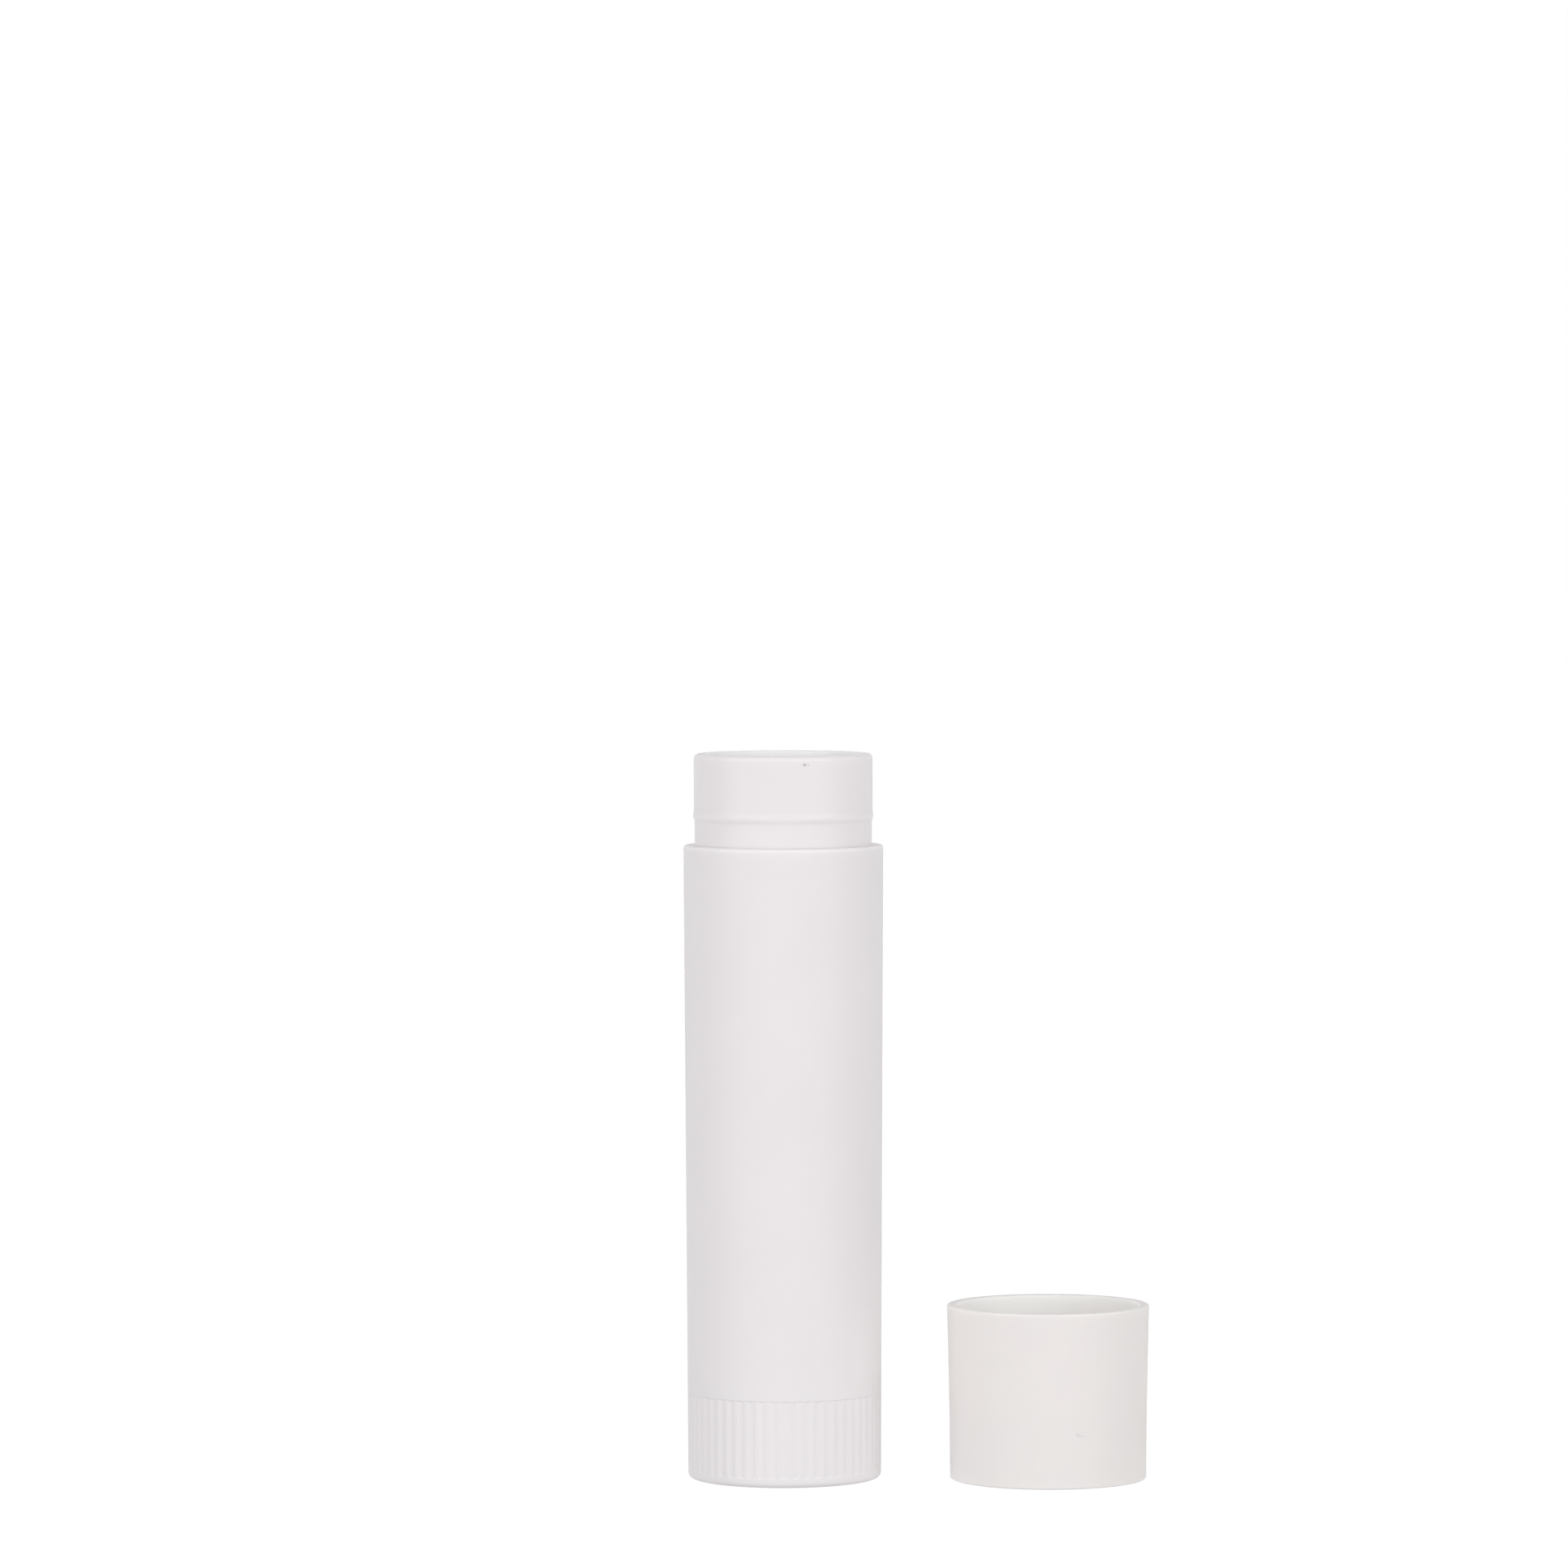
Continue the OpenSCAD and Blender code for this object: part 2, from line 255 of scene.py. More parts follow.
def between(reach):
    """Angles in degrees between one rib and the next, for ribs that reach this far to each side."""
    spaces = QUARTER_POINTS - len(RIB_ANGLES)
    step = (90.0 - 2 * reach) / (spaces + 1)
    return [reach + step * (i + 1) for i in range(spaces)]


def quarter_angles(reach=RIB_ANGLES[-1]):
    """Angles round a plain ring, a quarter at a time: eight for a rib of this reach, then the rest."""
    rib = [a * reach / RIB_ANGLES[-1] for a in RIB_ANGLES]
    return [math.radians(90.0 * quarter + a) for quarter in range(4) for a in rib + between(reach)]


ROUND_ANGLES = quarter_angles()


def feature_ring(r, z, section):
    """A ring whose eight rib points in each quarter take the (outward, sideways) section. The others lie on
    a circle of radius r, spread over what the section leaves."""
    reach = math.degrees(math.atan2(section[-1][1], section[-1][0]))
    arc = [(r * math.cos(math.radians(a)), r * math.sin(math.radians(a))) for a in between(reach)]
    ring = []
    for quarter in range(4):
        turn = math.radians(90.0 * quarter)
        for outward, sideways in section + arc:
            x = outward * math.cos(turn) - sideways * math.sin(turn)
            y = outward * math.sin(turn) + sideways * math.cos(turn)
            ring.append((x, y, z))
    return ring


def guide_section(inner):
    """Across one guide rib: foot, side, soft corner and face, and back again."""
    foot = math.sqrt(BORE_R ** 2 - GUIDE_HALF_W ** 2)
    side = min(inner + GUIDE_SOFT, foot - GUIDE_LEAST)
    half = [(foot, GUIDE_HALF_W), (side, GUIDE_HALF_W), (inner, GUIDE_HALF_W - GUIDE_SOFT), (inner, 0.12)]
    return [(r, -w) for r, w in half] + [(r, w) for r, w in reversed(half)]


def ring_bulge():
    """The snap ring's side: a low rounded swell, a little steeper below."""
    points = []
    for i in range(RING_STEPS + 1):
        share = i / RING_STEPS
        swell = math.sin(math.pi * share ** 0.9) ** 1.5
        base = LOWER_NECK_R + (NECK_R - LOWER_NECK_R) * share
        points.append((base + (RING_R - NECK_R) * swell, RING_Z - RING_DROP + RING_TALL * share))
    return points


# Round the guide ribs' flat ends the points stand closer than a rib is wide, so that no face folds
SOCKET_ANGLES = quarter_angles(4.0)
barrel_outside = held(
    corner("foot", outside_r(BARREL_Z), BARREL_Z - SEAM_CLOSE, SEAM_EDGE)
    + corner("top", SHOULDER_R, SHOULDER_Z, SHOULDER_EDGE)
    + corner("root", LOWER_NECK_R, SHOULDER_Z, NECK_ROOT)
    + ring_bulge()
    + corner("top", NECK_R, NECK_Z, RIM_OUTER_EDGE)
    + corner("rim", BORE_R, NECK_Z, RIM_INNER_EDGE)
    + [(BORE_R, GUIDE_Z + 0.02)])
barrel_socket = held(
    [(SOCKET_R, SOCKET_Z), (SOCKET_R, BEAD_Z + GROOVE_OVER), (SOCKET_R + SOCKET_GROOVE, BEAD_Z + GROOVE_OVER),
     (SOCKET_R + SOCKET_GROOVE, BEAD_Z - GROOVE_UNDER), (SOCKET_R, BEAD_Z - GROOVE_UNDER),
     (SOCKET_R, BARREL_Z + 0.1), (SOCKET_R + 0.1, BARREL_Z - SEAM_CLOSE)])
barrel_rings = [circle(r, z, ROUND_ANGLES) for r, z in barrel_outside[:-2]]
barrel_rings += [
    feature_ring(BORE_R, GUIDE_Z, guide_section(BORE_R - 0.02)),
    feature_ring(BORE_R, GUIDE_Z - 0.45, guide_section(GUIDE_R + 0.04)),
    feature_ring(BORE_R, GUIDE_Z - 0.55, guide_section(GUIDE_R)),
    feature_ring(BORE_R, SOCKET_Z + 0.05, guide_section(GUIDE_R)),
    feature_ring(BORE_R, SOCKET_Z, guide_section(GUIDE_R))]
barrel_rings += [circle(r, z, SOCKET_ANGLES) for r, z in barrel_socket[:-2]]
barrel = skin("barrel_shell", [(barrel_rings, True)], "barrel", "barrel")

# %% [markdown]
# ## The base wheel
#
# The wheel is turned between finger and thumb, so its side is fluted: round grooves with narrow soft lands
# between them, over a plain band at the foot. Each groove takes a few points of the ring, which are pushed
# in by the depth of a round cutter. The grooves fade out over a tenth of a millimetre at the band and run out
# at the top. Displacing a dense cylinder with a wave texture would do it too, but with blurred lands.

# %% Make the base wheel
GRIP_COUNT = 54
# The ribs show only faintly, so the grooves are shallower than the measured solid's
GRIP_DEPTH = 0.08
GRIP_TOOL_R = 0.742
GRIP_BAND = 0.75
GRIP_FADE = 0.12
FOOT_EDGE = 0.45
FLOOR_T = 1.3
BOSS_R = 3.0
BOSS_Z = 3.3
COLLAR_R = 6.95
BEAD_R = 7.15
CAVITY_R = 5.95
WHEEL_SOFT = 0.2
GATE_R = 0.6
# Steps across one groove and half of each land, in millimetres from the groove's middle
GRIP_STEPS = (0.0, 0.11, 0.21, 0.28, 0.335, 0.385, 0.461)


def recess(depth, floor_r, step_z):
    """A shallow recess under a piece, with the small raised mark of the mould's gate in its middle."""
    return [(0.0, depth - 0.12), (GATE_R - 0.05, depth - 0.12), (GATE_R, depth - 0.08), (GATE_R, depth),
            (floor_r, depth), (floor_r + 0.12, step_z), (floor_r + 0.2, 0.0)]


def grip_points():
    """Angle and share of the groove's depth, for each point round the wheel."""
    pitch = 2 * math.pi / GRIP_COUNT
    land = GRIP_STEPS[-1]
    side = [-s for s in reversed(GRIP_STEPS[1:-1])] + list(GRIP_STEPS)
    points = []
    for groove in range(GRIP_COUNT):
        for s in side:
            reach = math.sqrt(max(0.0, GRIP_TOOL_R ** 2 - s ** 2)) - (GRIP_TOOL_R - GRIP_DEPTH)
            share = max(0.0, reach) / GRIP_DEPTH
            points.append(((groove + 0.5 + 0.5 * s / land) * pitch, share))
    return points


GRIP_POINTS = grip_points()


def grip_ring(r, z):
    """A ring of the wheel's outside with the grooves as deep as they are at this height."""
    deep = min(1.0, max(0.0, (z - GRIP_BAND) / GRIP_FADE))
    deep = GRIP_DEPTH * math.sin(deep * math.pi / 2)
    cut = [(a, r - deep * share) for a, share in GRIP_POINTS]
    return [(cut_r * math.cos(a), cut_r * math.sin(a), z) for a, cut_r in cut]


wheel_angles = [a for a, share in GRIP_POINTS]
under = held(recess(0.3, 4.5, 0.08))[:-2]
outside = corner("foot", outside_r(FOOT_EDGE), 0.0, FOOT_EDGE)
for over_band in (-0.05, 0.0, 0.03, 0.06, 0.09, GRIP_FADE, GRIP_FADE + 0.05):
    outside.append((outside_r(GRIP_BAND + over_band), GRIP_BAND + over_band))
wheel_top = WHEEL_Z + SEAM_CLOSE
outside += [(outside_r(wheel_top), wheel_top - SEAM_EDGE - 0.04)]
outside += corner("top", outside_r(wheel_top), wheel_top, SEAM_EDGE)
inside = held(
    [(COLLAR_R, wheel_top), (COLLAR_R, BEAD_Z), (BEAD_R, BEAD_Z + 0.1), (BEAD_R, BEAD_Z + 0.25),
     (COLLAR_R, BEAD_Z + 0.5)]
    + corner("top", COLLAR_R, COLLAR_Z, WHEEL_SOFT)
    + [(CAVITY_R, COLLAR_Z)]
    + corner("floor", CAVITY_R, FLOOR_T, WHEEL_SOFT)
    + corner("root", BOSS_R, FLOOR_T, WHEEL_SOFT)
    + corner("top", BOSS_R, BOSS_Z, WHEEL_SOFT)
    + [(0.0, BOSS_Z)])[:-2]
wheel_rings = [circle(r, z, wheel_angles) for r, z in under]
wheel_rings += [grip_ring(r, z) for r, z in outside]
wheel_rings += [circle(r, z, wheel_angles) for r, z in inside]
wheel = skin("grip_wheel", [(wheel_rings, False)], "base_wheel", "base_wheel")

# %% [markdown]
# ## The spindle
#
# One coarse right-handed ridge climbs the spindle and lifts the cup 4.4 mm a turn. The same cross-section
# climbs and turns, so the mesh lines follow the ridge and its crest stays crisp. The ridge swells and fades
# at its ends as a moulded one does. The tip is rounded, so that the cup finds it when the tube is put
# together.

# %% Make the spindle
LEAD = 4.4
CORE_R = 1.8
CREST_R = 2.5
CREST_HALF = 37.0
ROOT_HALF = 78.0
THREAD_LOW = BOSS_Z + 0.6
THREAD_HIGH = wheel_high.z / MM - 0.9
THREAD_FADE = 1.2
TURN_RINGS = 32
# Stretches of the cross-section, from angle to angle in degrees, and the points on each: the crest, a flank,
# the core and the other flank
THREAD_STRETCHES = ((-CREST_HALF, CREST_HALF, 8), (CREST_HALF, ROOT_HALF, 6),
                    (ROOT_HALF, 360.0 - ROOT_HALF, 20), (360.0 - ROOT_HALF, 360.0 - CREST_HALF, 6))


def soft_step(x):
    """Goes from 0 to 1 with soft ends."""
    x = min(1.0, max(0.0, x))
    return x * x * (3 - 2 * x)


def ridge(angle, clear=0.0):
    """Share of the ridge's height at an angle in degrees from its middle."""
    off = abs((angle + 180.0) % 360.0 - 180.0)
    return soft_step((ROOT_HALF + clear - off) / (ROOT_HALF - CREST_HALF))


def spindle_ring(z):
    """The spindle's cross-section at a height, turned by as much as the thread has climbed."""
    fade = soft_step((z - THREAD_LOW) / THREAD_FADE) * soft_step((THREAD_HIGH - z) / THREAD_FADE)
    angles = []
    for start, end, count in THREAD_STRETCHES:
        angles += [start + (end - start) * i / count for i in range(count)]
    ring = []
    for angle in angles:
        r = CORE_R + (CREST_R - CORE_R) * ridge(angle) * fade
        turned = math.radians(angle + 360.0 * z / LEAD)
        ring.append((r * math.cos(turned), r * math.sin(turned), z))
    return ring


spindle_foot = BOSS_Z - 0.2
ring_count = math.ceil((THREAD_HIGH - spindle_foot) / LEAD * TURN_RINGS)
spindle_rings = [[(0.0, 0.0, spindle_foot)]]
for k in range(ring_count + 1):
    spindle_rings.append(spindle_ring(spindle_foot + (THREAD_HIGH - spindle_foot) * k / ring_count))
tip_turns = [math.atan2(y, x) for x, y, z in spindle_rings[-1]]
TIP_Z = wheel_high.z / MM
for r, z in corner("top", CORE_R - 0.1, TIP_Z, 0.6) + [(0.0, TIP_Z)]:
    spindle_rings.append(circle(r, z, tip_turns))
spindle = skin("spindle", [(spindle_rings, False)], "base_wheel", "base_wheel")

# %% [markdown]
# ## The lifting cup
#
# The cup has a plate, a thin wall and a long hub with the mating thread. Four notches in its wall run on the
# barrel's guide ribs, and the wall steps in behind each notch so that it is equally thick all round, as a
# moulder wants it. Four low fins would key the balm. The whole cup is again one closed stack of rings: out
# along the underside, up the wall, down inside, up the hub and down through the thread.

# %% Make the lifting cup
CUP_R = BORE_R - 0.08
CUP_WALL = 0.65
NOTCH_R = GUIDE_R - 0.15
NOTCH_HALF_W = GUIDE_HALF_W + 0.15
PLATE_Z = COLLAR_Z + 0.25
PLATE_T = 1.0
LIFT_TOP = lift_high.z / MM
HUB_LOW = lift_low.z / MM
HUB_R = 3.5
HUB_TOP = PLATE_Z + 2.5
THREAD_CLEAR = 0.15
HOLE_STEP = 0.11
HUB_SOFT = 0.15
# A hub's points are spread so wide that no face between hub and wall crosses the corner of a pad
HUB_ANGLES = quarter_angles(24.0)


def notch_section(r, soft=0.08):
    """Across one notch in the cup's wall, from its soft outer corner to its floor and back."""
    shoulder = math.sqrt(r ** 2 - (NOTCH_HALF_W + soft) ** 2)
    half = [(shoulder, NOTCH_HALF_W + soft), (shoulder - soft, NOTCH_HALF_W),
            (NOTCH_R + 0.02, NOTCH_HALF_W), (NOTCH_R, 0.2)]
    return [(a, -w) for a, w in half] + [(a, w) for a, w in reversed(half)]


def pad_section(r):
    """Inside the wall behind one notch, where it steps in."""
    pad_w = NOTCH_HALF_W + CUP_WALL
    foot = math.sqrt(r ** 2 - pad_w ** 2)
    pad_r = NOTCH_R - CUP_WALL
    half = [(foot, pad_w), (pad_r + 0.1, pad_w), (pad_r, pad_w - 0.1), (pad_r, 0.4)]
    return [(a, -w) for a, w in half] + [(a, w) for a, w in reversed(half)]


def hole_ring(z):
    """The hub's threaded hole: the spindle's section with clearance all round."""
    ring = []
    clear_turn = 360.0 * THREAD_CLEAR / LEAD
    for a in HUB_ANGLES:
        from_crest = math.degrees(a) - 360.0 * z / LEAD
        r = CORE_R + THREAD_CLEAR + (CREST_R - CORE_R) * ridge(from_crest, clear_turn)
        ring.append((r * math.cos(a), r * math.sin(a), z))
    return ring


inner_r = CUP_R - CUP_WALL
cup_rings = [circle(HUB_R, PLATE_Z - 0.02, HUB_ANGLES), circle(HUB_R + 0.04, PLATE_Z, HUB_ANGLES)]
cup_outside = (corner("foot", CUP_R, PLATE_Z, 0.1) + [(CUP_R, LIFT_TOP - 0.16)]
               + corner("top", CUP_R, LIFT_TOP, 0.12))
cup_inside = [(inner_r + 0.1, LIFT_TOP), (inner_r, LIFT_TOP - 0.1), (inner_r, PLATE_Z + PLATE_T + 0.15),
              (inner_r - 0.15, PLATE_Z + PLATE_T)]
hub_outside = corner("root", HUB_R, PLATE_Z + PLATE_T, HUB_SOFT) + corner("top", HUB_R, HUB_TOP, HUB_SOFT)
cup_rings += [feature_ring(r, z, notch_section(r)) for r, z in cup_outside]
cup_rings += [feature_ring(r, z, pad_section(r)) for r, z in cup_inside]
cup_rings += [circle(r, z, HUB_ANGLES) for r, z in hub_outside]
hole_count = round((HUB_TOP - HUB_LOW) / HOLE_STEP)
cup_rings += [hole_ring(HUB_TOP + (HUB_LOW - HUB_TOP) * k / hole_count) for k in range(hole_count + 1)]
cup_rings += [circle(r, z, HUB_ANGLES) for r, z in corner("foot", HUB_R, HUB_LOW, HUB_SOFT)]

FIN_HALF_W = 0.3
FIN_Z = PLATE_Z + 2.0
FIN_SOFT = 0.12
FIN_SUNK = 0.2


def fin_rings(turn):
    """One low fin with a soft top, sunk a little into the plate, the hub and the wall."""
    rings = []
    for outward in (HUB_R - FIN_SUNK, inner_r + FIN_SUNK):
        half = [(FIN_HALF_W, PLATE_Z + PLATE_T - FIN_SUNK), (FIN_HALF_W, FIN_Z - FIN_SOFT),
                (FIN_HALF_W - FIN_SOFT, FIN_Z)]
        around = half + [(-w, z) for w, z in reversed(half)]
        rings.append([(outward * math.cos(turn) - w * math.sin(turn),
                       outward * math.sin(turn) + w * math.cos(turn), z) for w, z in around])
    ends = []
    for ring in rings:
        ends.append([tuple(sum(p[i] for p in ring) / len(ring) for i in range(3))])
    return [ends[0]] + rings + [ends[1]]


fins = [(fin_rings(math.radians(45 + 90 * quarter)), False) for quarter in range(4)]
lifting_cup = skin("lifting_cup", [(cup_rings, True)] + fins, "elevator", "elevator")

# %% [markdown]
# ## The cap
#
# The cap stands mouth up. Its side flares towards the mouth, slowly at first and then faster, as the picture
# shows. The rim is thin with soft edges. A wide seat takes the neck, a shallow groove takes the snap ring,
# and below a small step the hollow narrows to the closed end. A revolved profile is all it needs.

# %% Make the cap
CAP_END_R = 8.06
CAP_FLARE = 0.241
CAP_FLARE_POWER = 1.6
SEAT_R = NECK_R + 0.06
HOLLOW_R = SEAT_R - 0.45
SEAT_END = CAP_H - NECK_L - 0.15
GROOVE_Z = CAP_H - RING_UP
FLARE_STEPS = 24
CAP_EDGE = 0.2
LIP_EDGE = 0.12
CAP_GROOVE = 0.09
CAP_END_T = 1.1
CAP_POINTS = 288


def cap_r(z):
    """Radius of the cap's outside at a height over its closed end."""
    return CAP_END_R + CAP_FLARE * (z / CAP_H) ** CAP_FLARE_POWER


lip_z = CAP_H - LIP_EDGE
flare = [0.24 + (lip_z - 0.28) * i / FLARE_STEPS for i in range(FLARE_STEPS + 1)]
cap_profile = held(
    recess(0.25, 1.5, 0.06)
    + corner("foot", cap_r(CAP_EDGE), 0.0, CAP_EDGE)
    + [(cap_r(z), z) for z in flare]
    + corner("top", cap_r(lip_z), CAP_H, LIP_EDGE)
    + corner("rim", SEAT_R, CAP_H, CAP_EDGE)
    + [(SEAT_R, GROOVE_Z + 0.15), (SEAT_R + CAP_GROOVE, GROOVE_Z + 0.06)]
    + [(SEAT_R + CAP_GROOVE, GROOVE_Z - 0.86), (SEAT_R, GROOVE_Z - 0.95)]
    + [(SEAT_R, SEAT_END), (HOLLOW_R, SEAT_END - 0.45)]
    + corner("floor", HOLLOW_R - 0.1, CAP_END_T, 0.5)
    + [(0.0, CAP_END_T)])[:-2]
even_angles = [2 * math.pi * i / CAP_POINTS for i in range(CAP_POINTS)]
cap_rings = [[(x + CAP_X, y + CAP_Y, z) for x, y, z in circle(r, z, even_angles)] for r, z in cap_profile]
cap = skin("loose_cap", [(cap_rings, False)], "cap", "cap")

# %% [markdown]
# ## Maths for the materials
#
# A material's pattern is arithmetic on where a point lies on the piece. Written as nodes, each plus and times
# is a box with wires. This small class wraps one output, so the same arithmetic reads as an expression, and
# each operation adds its Math node.

# %% Wrap a node's output
class Wire:
    """One output of a node. Plain arithmetic on it adds Math nodes."""

    def __init__(self, tree, socket=None):
        self.tree = tree
        self.socket = socket

    def node(self, kind, settings=None, inputs=None, out=0):
        """Adds a node: its settings first, then values or wires for its sockets, by name or number."""
        made = self.tree.nodes.new(kind)
        for key, value in (settings or {}).items():
            setattr(made, key, value)
        for key, value in (inputs or {}).items():
            if isinstance(value, Wire):
                self.tree.links.new(value.socket, made.inputs[key])
            else:
                made.inputs[key].default_value = value
        return Wire(self.tree, made.outputs[out] if len(made.outputs) else None)

    def maths(self, operation, first, second):
        return self.node("ShaderNodeMath", {"operation": operation}, {0: first, 1: second})

    def __add__(self, other):
        return self.maths("ADD", self, other)

    def __radd__(self, other):
        return self.maths("ADD", other, self)

    def __sub__(self, other):
        return self.maths("SUBTRACT", self, other)

    def __rsub__(self, other):
        return self.maths("SUBTRACT", other, self)

    def __mul__(self, other):
        return self.maths("MULTIPLY", self, other)

    def __rmul__(self, other):
        return self.maths("MULTIPLY", other, self)


def mixed(mask, low, high):
    """Goes from one colour to another with a mask."""
    return mask.node("ShaderNodeMix", {"data_type": "RGBA"}, {0: mask, 6: low, 7: high}, out=2)


def ramped(value, start, end):
    """Goes softly from 0 at start to 1 at end. It may run backwards."""
    return value.node("ShaderNodeMapRange", {"interpolation_type": "SMOOTHSTEP"},
                      {"Value": value, "From Min": start, "From Max": end})


def cloud(place, size, detail=2.0, roughness=0.5):
    """Soft random blotches of a size in millimetres, around 0.5."""
    return place.node("ShaderNodeTexNoise", {}, {"Vector": place, "Scale": 1.0 / (size * MM),
                                                 "Detail": detail, "Roughness": roughness})


def near(place, point, reach):
    """A soft round spot about a point, both in millimetres: 1 in its middle, 0 outside its reach."""
    away = place.node("ShaderNodeVectorMath", {"operation": "DISTANCE"},
                      {0: place, 1: Vector(point) * MM}, out="Value")
    return ramped(away, reach * MM, 0.45 * reach * MM)


print("shader maths ready")

# %% [markdown]
# ## White polypropylene
#
# The plastic is a plain warm white with light scattering a little way into it, so its edges never look like
# paint. Moulded faces aren't perfect: the sheen drifts, the steel of the mould leaves a very fine grain, and
# the wall sinks by microns where it is thick. The neck and the rims are polished in the mould, the barrel is
# satin, and a mask on height goes from one to the other at the shoulder. The maps stay faint, because on a
# white part a strong one reads as dirt.
#
# A renderer loses scattered light in a seam as thin as the one over the wheel, and a dark band would show
# there. So a Mix Shader goes over to the same plastic without scattering at the seam and below it. Its
# colour is a little darker there as painted shade, so that both look equally light. The hollows' walls have
# a lighter colour, which is painted light: it stands in for the light that plastic this thin lets in through
# its wall.

# %% Build the plastics
# Colour of the specks all over the plastic and how strongly they show, and colour of the single marks
SPECK_TONE = (0.45, 0.41, 0.37, 1.0)
SPECK_SHARE = 0.16
MARK_TONE = (0.20, 0.17, 0.15, 1.0)
# How far the sheen drifts, and how much smoother the polished parts are
SHEEN_DRIFT = 0.10
POLISH = 0.08
# How deep the wall sinks, and how far light scatters in it, in millimetres
SINK = 0.010
SCATTER = 0.5
# Heights in millimetres over the seam between which the plastic goes over to scattering
SEAM_BLEND = (0.6, 2.4)
# Painted shade: how much darker the colour is without scattering, so that both look equally light
CLOSED_PAINTED_SHADE = 0.972


def paint_hollow_light(place, tone, x, y, radius, painted_light_tone):
    """Paints light on the wall of an upright hollow about the axis at x and y. The lighter tone stands in for
    the light that comes in through the thin wall.
    """
    flat = place.node("ShaderNodeVectorMath", {"operation": "MULTIPLY"}, {0: place, 1: (1.0, 1.0, 0.0)})
    middle = Vector((x, y, 0.0)) * MM
    away = place.node("ShaderNodeVectorMath", {"operation": "DISTANCE"}, {0: flat, 1: middle}, out="Value")
    return mixed(ramped(away, radius * MM, (radius - 0.1) * MM), tone, painted_light_tone)


def moulded(place, grain):
    """A Bump's normal for the fine grain of the mould and the slow swell of a wall that has sunk."""
    fine = cloud(place, 0.10, 2.0, 0.6)
    swell = cloud(place, 2.6, 1.0)
    relief = fine * grain + swell * SINK
    return relief.node("ShaderNodeBump", {}, {"Strength": 0.6, "Distance": MM, "Height": relief})


def over_seam(place, tone, surface, shader, seam):
    """Takes a plastic over to the same plastic without scattering, at the seam's height and below it, with
    its colour darkened there as painted shade.
    """
    over = place.node("ShaderNodeSeparateXYZ", {}, {0: place}, out="Z") - seam * MM
    # Painted shade: the colour without scattering is darkened so that it looks as light as the scattering
    # plastic
    shade = tone.node("ShaderNodeVectorMath", {"operation": "MULTIPLY"}, {0: tone, 1: (CLOSED_PAINTED_SHADE,) * 3})
    closed = tone.node("ShaderNodeBsdfPrincipled", {}, surface | {"Base Color": shade})
    blend = ramped(over, SEAM_BLEND[0] * MM, SEAM_BLEND[1] * MM)
    return over.node("ShaderNodeMixShader", {}, {0: blend, 1: closed, 2: shader})


def plastic(name, colour, deep_colour, sheen, grain, marks=(), gloss_over=None, blotch=9.0, hollow=None,
            seam=None):
    """A moulded white plastic. marks are (point, reach, strength), and gloss_over is the height over which it
    is polished. hollow is (x, y, radius, tone) of an upright hollow, whose wall takes a lighter tone as
    painted light. seam is the height of a closed seam: the plastic scatters no light below it and just above
    it, and its colour there is darkened as painted shade."""
    material = bpy.data.materials.new(name)
    material.use_nodes = True
    tree = material.node_tree
    tree.nodes.clear()
    place = Wire(tree).node("ShaderNodeTexCoord", out="Object")
    drift = ramped(cloud(place, blotch, 3.0, 0.55), 0.38, 0.66)
    specks = ramped(cloud(place, 0.42, 1.0), 0.79, 0.84)
    tone = mixed(drift, colour, deep_colour)
    # Painted light: the hollow's wall takes a lighter colour in place of the light that comes through the
    # thin wall
    if hollow is not None:
        tone = paint_hollow_light(place, tone, *hollow)
    tone = mixed(specks * SPECK_SHARE, tone, SPECK_TONE)
    for point, reach, strength in marks:
        tone = mixed(near(place, point, reach) * strength, tone, MARK_TONE)
    rough = sheen + (cloud(place, 3.0, 4.0, 0.6) - 0.5) * SHEEN_DRIFT
    if gloss_over is not None:
        height = place.node("ShaderNodeSeparateXYZ", {}, {0: place}, out="Z")
        polished = ramped(height, (gloss_over - 0.05) * MM, (gloss_over + 0.05) * MM)
        rough = rough - polished * POLISH
    surface = {"Base Color": tone, "Roughness": rough, "Normal": moulded(place, grain),
               "IOR": 1.49, "Specular IOR Level": 0.4}
    inside = {"Subsurface Weight": 1.0, "Subsurface Radius": (1.0, 1.0, 1.0),
              "Subsurface Scale": SCATTER * MM}
    shader = tone.node("ShaderNodeBsdfPrincipled", {"subsurface_method": "RANDOM_WALK"}, surface | inside)
    if seam is not None:
        shader = over_seam(place, tone, surface, shader, seam)
    shader.node("ShaderNodeOutputMaterial", {}, {"Surface": shader})
    return material


# Painted light: lighter tones in the bore and in the cap's hollow. Then the marks: where, how far they reach
# and how strong
BORE_PAINTED_LIGHT = (0.970, 0.935, 0.942, 1.0)
CAP_HOLLOW_PAINTED_LIGHT = (0.950, 0.915, 0.895, 1.0)
NECK_SPECKS = [((1.74, -7.13, 58.93), 0.17, 0.42), ((2.02, -7.05, 58.91), 0.15, 0.16)]
CAP_NICK = [((23.84, -8.90, 4.42), 0.17, 0.15), ((23.74, -8.93, 4.54), 0.15, 0.08),
            ((24.02, -8.84, 4.34), 0.13, 0.10), ((24.20, -8.79, 4.34), 0.13, 0.10),
            ((24.33, -8.74, 4.33), 0.12, 0.08), ((24.04, -8.84, 4.64), 0.11, 0.05),
            ((24.24, -8.77, 4.64), 0.11, 0.05)]

